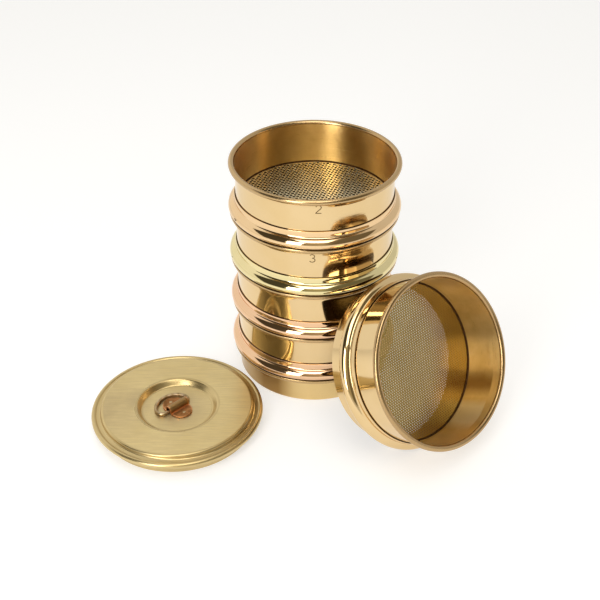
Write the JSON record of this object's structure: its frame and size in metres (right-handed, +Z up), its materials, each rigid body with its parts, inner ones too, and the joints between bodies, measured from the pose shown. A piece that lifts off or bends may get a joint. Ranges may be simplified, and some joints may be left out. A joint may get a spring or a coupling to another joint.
{
  "type": "soil sieve set",
  "caption": "Nested brass soil sieves on a receiver pan, with a loose sieve leaning beside them and a flat lid with a folding D-ring handle.",
  "frame": {"origin": "centre of the flat underside of the receiver pan, on the axis of the stack", "axes": "+Z up along the axis of the stack; the lid lies towards -X and -Y, and the loose sieve leans towards +X and -Y with its mouth turned outwards"},
  "size_m": [0.2666, 0.1897, 0.1565],
  "materials": {
    "polished_brass": "mirror polished, light spinning marks",
    "rose_brass": "mirror polished",
    "green_brass": "mirror polished",
    "copper_brass": "mirror polished",
    "perforated_brass": "satin sheet with round punched holes",
    "solder": "dull tinned seam",
    "satin_brass": "brushed satin",
    "strap_copper": "worn and oxidised",
    "ring_copper": "worn drawn wire",
    "rivet_brass": "flush, dressed off"
  },
  "bodies": {
    "pan": {"pan_body": "polished_brass"},
    "sieve_4": {"sieve_4_frame": "polished_brass", "sieve_4_bead_ring": "copper_brass", "sieve_4_screen": "perforated_brass", "sieve_4_solder_seam": "solder"},
    "sieve_3": {"sieve_3_frame": "polished_brass", "sieve_3_bead_ring": "copper_brass", "sieve_3_screen": "perforated_brass", "sieve_3_solder_seam": "solder"},
    "sieve_2": {"sieve_2_frame": "polished_brass", "sieve_2_bead_ring": "green_brass", "sieve_2_screen": "perforated_brass", "sieve_2_solder_seam": "solder"},
    "sieve_1": {"sieve_1_frame": "polished_brass", "sieve_1_bead_ring": "rose_brass", "sieve_1_screen": "perforated_brass", "sieve_1_solder_seam": "solder"},
    "loose_sieve": {"loose_sieve_frame": "polished_brass", "loose_sieve_bead_ring": "polished_brass", "loose_sieve_screen": "perforated_brass", "loose_sieve_solder_seam": "solder"},
    "lid": {"lid_plate": "satin_brass", "lid_plug_ring": "satin_brass", "ring_strap": "strap_copper", "strap_rivet_left": "rivet_brass", "strap_rivet_right": "rivet_brass"},
    "handle_ring": {"d_ring": "ring_copper"}
  },
  "joints": [
    {"name": "sieve_4_lift", "type": "slide", "parent": "pan", "child": "sieve_4", "axis": [0, 0, 1], "range_m": [0, 0.04]},
    {"name": "sieve_3_lift", "type": "slide", "parent": "sieve_4", "child": "sieve_3", "axis": [0, 0, 1], "range_m": [0, 0.04]},
    {"name": "sieve_2_lift", "type": "slide", "parent": "sieve_3", "child": "sieve_2", "axis": [0, 0, 1], "range_m": [0, 0.04]},
    {"name": "sieve_1_lift", "type": "slide", "parent": "sieve_2", "child": "sieve_1", "axis": [0, 0, 1], "range_m": [0, 0.04]},
    {"name": "loose_sieve_lift", "type": "slide", "parent": "pan", "child": "loose_sieve", "axis": [0.6124, -0.6232, 0.4863], "range_m": [0, 0.12]},
    {"name": "lid_lift", "type": "slide", "parent": "pan", "child": "lid", "axis": [0, 0, 1], "range_m": [0, 0.1]},
    {"name": "d_ring_swing", "type": "hinge", "parent": "lid", "child": "handle_ring", "pos_m": [-0.08935, -0.07135, 0.0107], "axis": [0.7071, 0.7071, 0], "range_deg": [0, 180]}
  ]
}
